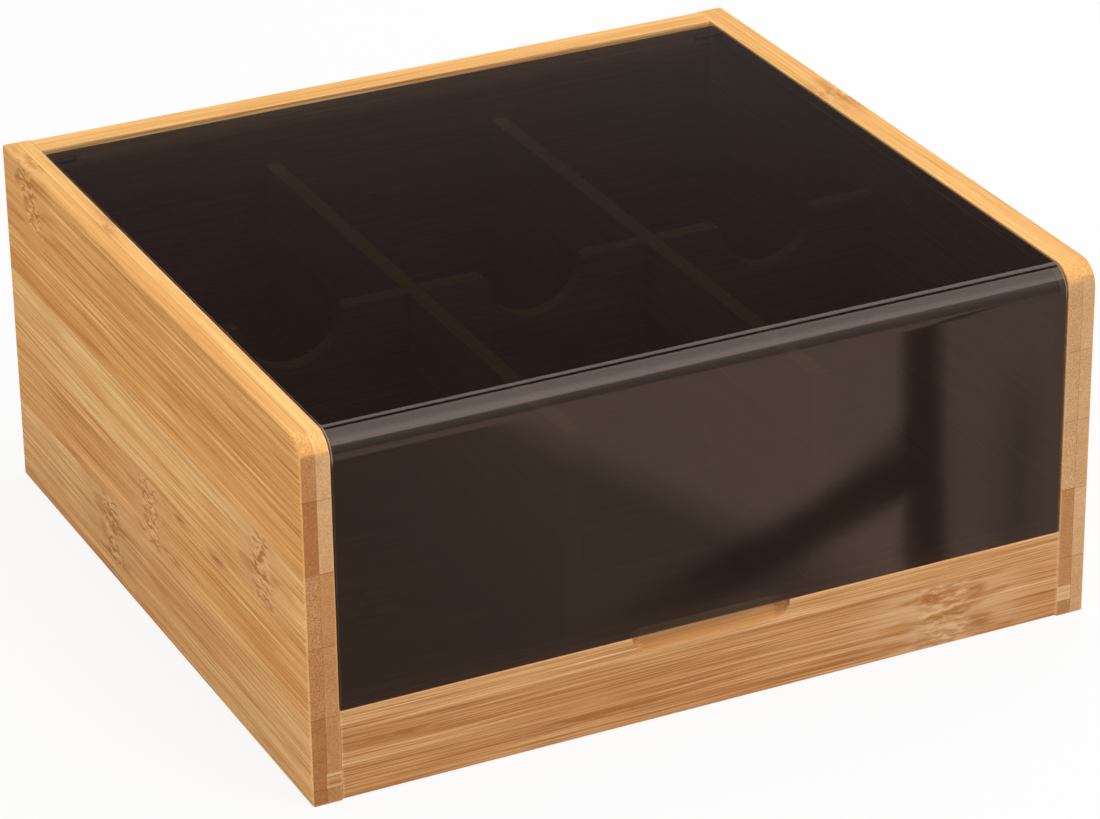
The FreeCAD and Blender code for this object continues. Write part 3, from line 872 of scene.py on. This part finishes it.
# What the front of the lid mirrors from the floor before it: a painted reflection, which the floor gives off
# to glossy rays alone, of paper sheets with dark gaps between them.
# Levels are shares of white, and places and widths are floor millimetres. A line is two points on it,
# and a pair of numbers says where something starts to show and where it is full.
MIRRORED_TINT = colour(255, 238, 228)
BARE_LEVEL = 0.47
BARE_LEFT_LEVEL = 0.31      # the bare floor is darker on the left
BARE_RISE = (-90.0, 40.0)
PAPER_LEVEL = 1.0
PAPER_LEFT_EDGE = ((57, -170), (28, -262))
PAPER_LEFT_BLUR = (-16.0, 12.0)
PAPER_TOP_EDGE = ((108, -205), (57, -170))
PAPER_TOP_BLUR = (-5.0, 5.0)
NEAR_PAPER_LEVEL = 1.0
NEAR_PAPER_START = (46.0, 80.0)
SIDE_PAPER_LEVEL = 0.78
FRAME_GAP_DEPTH = 0.66      # how dark the gaps are: 1 would be black
POST = ((158.6, -268.5), (90.2, -148.6))
POST_HALF_WIDTH = 6.0
POST_BLUR = 2.5
BAR = ((0, -145), (114, -190))
BAR_HALF_WIDTH = 11.0
BAR_CORE = 4.0
BAR_BLUR = 4.0
BAR_START = (-30.0, 50.0)
BAR_END = (124.0, 108.0)
SIDE_GAP_DEPTH = 0.35
SIDE_GAP = ((141, -184), (118.6, -148.5))
SIDE_GAP_REACH = 10.0
SIDE_GAP_START = (-250.0, -190.0)

# A softbox: its place, the point it faces, its width and height, its brightness (1 = white) and whether
# polished things mirror it.
Softbox = namedtuple("Softbox", "place target width height brightness mirrored")

SOFTBOXES = {
    "overhead": Softbox((0.35, -0.35, 1.15), (0.0, -0.15, 0.0), 1.5, 1.3, 1.9, True),
    "front": Softbox((0.9, -1.9, 1.0), (0.0, 0.0, 0.05), 1.8, 1.3, 1.4, False),
    "left": Softbox((-1.7, 0.1, 0.9), (0.0, 0.0, 0.05), 1.2, 1.2, 1.7, True),
    "rear_strip": Softbox((0.45, 1.0, 1.02), (0.0, 0.0, 0.09), 1.8, 0.42, 1.6, True),
}


def aim(place, target):
    """A turn that points a lamp at place towards the target."""
    direction = Vector(target) - Vector(place)
    return direction.to_track_quat("-Z", "Y").to_matrix().to_4x4()


def add_softboxes():
    """The lamps: large rectangles, so that shadows are soft."""
    for name, box in SOFTBOXES.items():
        lamp = bpy.data.lights.new(name, "AREA")
        lamp.shape = "RECTANGLE"
        lamp.size = box.width
        lamp.size_y = box.height
        lamp.energy = box.brightness * math.pi * box.width * box.height
        thing = bpy.data.objects.new(name, lamp)
        thing.matrix_world = Matrix.Translation(box.place) @ aim(box.place, box.target)
        thing.visible_glossy = box.mirrored
        bpy.context.scene.collection.objects.link(thing)


def add_world():
    """White behind the object, an even glow on it, and a studio of its own in its reflections."""
    world = bpy.data.worlds.new("studio")
    bpy.context.scene.world = world
    world.use_nodes = True
    graph = Graph(world.node_tree)
    background = world.node_tree.nodes["Background"]
    path = graph.node("ShaderNodeLightPath").outputs
    _, y, z = graph.split(graph.node("ShaderNodeTexCoord").outputs["Generated"])
    seen = graph.calc("MAXIMUM", path["Is Camera Ray"], path["Is Transmission Ray"])
    glow = graph.between(graph.smooth(z, *GLOW_RISE), *FRONT_GLOW)
    backdrop = graph.mix(graph.smooth(z, *BACKDROP_RISE), grey(DARK_STUDIO), grey(BACKDROP_LEVEL))
    mirrored = graph.mix(graph.smooth(y, *TURN_TO_FRONT), backdrop, glow)
    level = graph.mix(path["Is Glossy Ray"], grey(AMBIENT), mirrored)
    graph.feed(background.inputs["Color"], graph.mix(seen, level, grey(1.0)))


def side_of(graph, x, y, line):
    """Distance from a line through two points, positive on the left of the way from first to second."""
    start, end = (Vector(point) for point in line)
    run = (end - start).normalized()
    return graph.total(graph.product(x, -run.y), graph.product(y, run.x), start.x * run.y - start.y * run.x)


def mirrored_sheets(graph, x, y, from_post, from_bar):
    """The level of the bare floor and the paper sheets, before the gaps darken it."""
    beyond_post = graph.smooth(from_post, 0.0, POST_HALF_WIDTH)
    paper = graph.product(
        graph.smooth(side_of(graph, x, y, PAPER_LEFT_EDGE), *PAPER_LEFT_BLUR),
        graph.smooth(side_of(graph, x, y, PAPER_TOP_EDGE), *PAPER_TOP_BLUR),
        beyond_post,
        PAPER_LEVEL - BARE_LEVEL,
    )
    near_paper = graph.product(
        graph.smooth(from_bar, BAR_CORE, BAR_HALF_WIDTH),
        beyond_post,
        graph.smooth(x, *NEAR_PAPER_START),
        NEAR_PAPER_LEVEL - BARE_LEVEL,
    )
    side_paper = graph.product(graph.smooth(from_post, 0.0, -POST_HALF_WIDTH), SIDE_PAPER_LEVEL - BARE_LEVEL)
    bare = graph.between(graph.smooth(x, *BARE_RISE), BARE_LEFT_LEVEL, BARE_LEVEL)
    return graph.calc("MINIMUM", graph.total(bare, paper, side_paper, near_paper), 1.0)


def mirrored_gaps(graph, x, y, from_post, from_bar):
    """How much of that level the gaps leave: a post, a bar that meets it, and a faint one beside them."""
    post = graph.near(from_post, 0.0, POST_HALF_WIDTH - POST_BLUR, POST_HALF_WIDTH + POST_BLUR)
    bar = graph.product(
        graph.near(from_bar, 0.0, BAR_CORE, BAR_HALF_WIDTH + BAR_BLUR),
        graph.smooth(x, *BAR_START),
        graph.smooth(x, *BAR_END),
    )
    side_gap = graph.product(
        graph.near(side_of(graph, x, y, SIDE_GAP), 0.0, 0.0, SIDE_GAP_REACH),
        graph.smooth(y, *SIDE_GAP_START),
        SIDE_GAP_DEPTH,
    )
    frame_gap = graph.product(graph.calc("MAXIMUM", post, bar), FRAME_GAP_DEPTH)
    return graph.calc("SUBTRACT", 1.0, graph.calc("MAXIMUM", frame_gap, side_gap))


def mirrored_floor(graph):
    """How bright each place of the floor looks in the polished lid."""
    x, y, _ = graph.split(graph.millimetres())
    from_post = side_of(graph, x, y, POST)
    from_bar = side_of(graph, x, y, BAR)
    level = mirrored_sheets(graph, x, y, from_post, from_bar)
    return graph.product(level, mirrored_gaps(graph, x, y, from_post, from_bar))


def add_floor():
    """A pale floor: mostly plain white to the camera, so that it keeps only a faint shadow; to glossy rays it
    glows with a painted reflection of sheets and gaps.
    """
    bpy.ops.mesh.primitive_plane_add(size=FLOOR_SIZE)
    floor = bpy.context.object
    floor.name = "floor"
    material, graph, shader = surface("floor_paper")
    shader.inputs["Roughness"].default_value = FLOOR_ROUGHNESS
    shader.inputs["Specular IOR Level"].default_value = 0.0
    shader.inputs["Base Color"].default_value = grey(FLOOR_GREY)
    path = graph.node("ShaderNodeLightPath").outputs
    white = graph.node("ShaderNodeEmission")
    mirrored = graph.node("ShaderNodeEmission")
    mirrored.inputs["Color"].default_value = MIRRORED_TINT
    graph.feed(mirrored.inputs["Strength"], mirrored_floor(graph))
    whiteness = graph.product(path["Is Camera Ray"], FLOOR_WHITE)
    seen = graph.mix_shaders(whiteness, shader.outputs[0], white.outputs[0])
    blend = graph.mix_shaders(path["Is Glossy Ray"], seen, mirrored.outputs[0])
    graph.feed(material.node_tree.nodes["Material Output"].inputs["Surface"], blend)
    floor.data.materials.append(material)


def add_camera():
    """The camera at the photograph's viewing angle."""
    azimuth = math.radians(CAMERA_AZIMUTH)
    elevation = math.radians(CAMERA_ELEVATION)
    roll = math.radians(CAMERA_ROLL)
    level = math.cos(elevation)
    back = Vector((math.sin(azimuth) * level, -math.cos(azimuth) * level, math.sin(elevation)))
    right = (-back).cross(Vector((0, 0, 1))).normalized()
    up = right.cross(-back)
    turned_right = math.cos(roll) * right + math.sin(roll) * up
    turned_up = math.cos(roll) * up - math.sin(roll) * right
    lens = bpy.data.cameras.new("photo_camera")
    lens.lens = CAMERA_LENS
    lens.sensor_width = SENSOR_WIDTH
    camera = bpy.data.objects.new("photo_camera", lens)
    turn = Matrix((turned_right, turned_up, back)).transposed().to_4x4()
    camera.matrix_world = Matrix.Translation(CAMERA_PLACE) @ turn
    bpy.context.scene.collection.objects.link(camera)
    bpy.context.scene.camera = camera


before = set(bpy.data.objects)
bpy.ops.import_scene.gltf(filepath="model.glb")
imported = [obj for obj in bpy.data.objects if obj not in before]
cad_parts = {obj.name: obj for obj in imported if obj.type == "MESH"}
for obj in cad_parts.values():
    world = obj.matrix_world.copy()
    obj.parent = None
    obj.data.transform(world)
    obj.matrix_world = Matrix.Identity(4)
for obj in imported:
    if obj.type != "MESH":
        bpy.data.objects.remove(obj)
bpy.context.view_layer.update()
add_camera()
add_world()
add_softboxes()
add_floor()
dress(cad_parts)
bpy.context.scene.view_settings.view_transform = "Standard"
